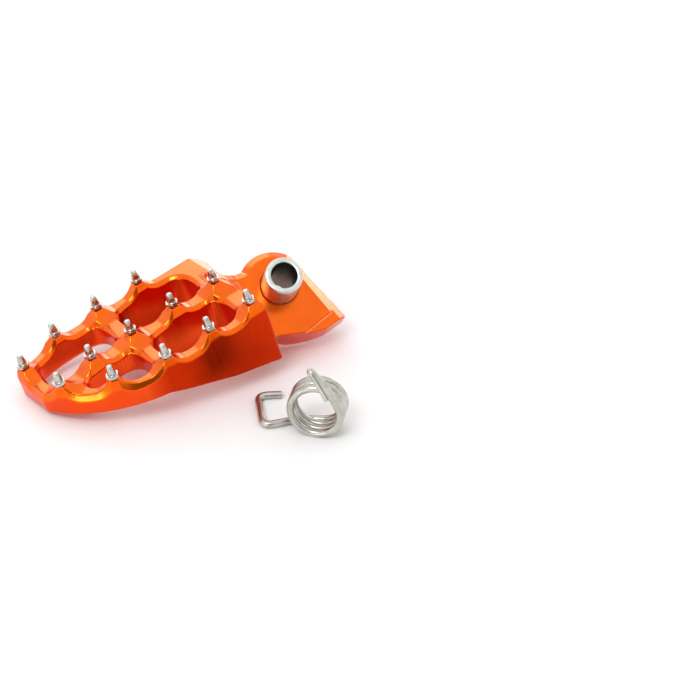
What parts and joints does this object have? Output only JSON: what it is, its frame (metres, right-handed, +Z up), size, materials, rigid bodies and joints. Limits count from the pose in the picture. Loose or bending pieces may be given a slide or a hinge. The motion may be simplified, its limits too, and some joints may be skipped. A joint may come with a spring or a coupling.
{
  "type": "foot peg",
  "caption": "Machined folding motorcycle foot peg with open pockets, screwed-in cleats and a raked pivot lug, with its pivot sleeve and loose return spring.",
  "frame": {"origin": "middle of the box that holds the peg and its spring, on the surface that they lie on", "axes": "+X along the peg towards its pivot lug, +Y across to the far rail, +Z up from the surface"},
  "size_m": [0.1227, 0.1113, 0.0403],
  "materials": {
    "anodised_orange": "glossy anodised",
    "plated_steel": "zinc plated, satin",
    "spring_wire": "satin",
    "cleat_steel": "polished"
  },
  "bodies": {
    "sleeve": {"pivot_sleeve": "plated_steel"},
    "peg": {"peg_body": "anodised_orange", "cleat_a2": "cleat_steel", "cleat_a3": "cleat_steel", "cleat_a4": "cleat_steel", "cleat_a5": "cleat_steel", "cleat_b1": "cleat_steel", "cleat_b2": "cleat_steel", "cleat_b3": "cleat_steel", "cleat_b4": "cleat_steel", "cleat_b5": "cleat_steel", "cleat_c1": "cleat_steel", "cleat_c2": "cleat_steel", "cleat_c3": "cleat_steel", "cleat_c4": "cleat_steel"},
    "spring": {"return_spring": "spring_wire"}
  },
  "joints": [
    {"name": "fold", "type": "hinge", "parent": "sleeve", "child": "peg", "pos_m": [0.03855, 0.01614, 0.02545], "axis": [0.2612, 0.6223, -0.7379], "range_deg": [0, 80]},
    {"name": "spring_lift", "type": "slide", "parent": "sleeve", "child": "spring", "axis": [0, 0, 1], "range_m": [0, 0.08]}
  ]
}
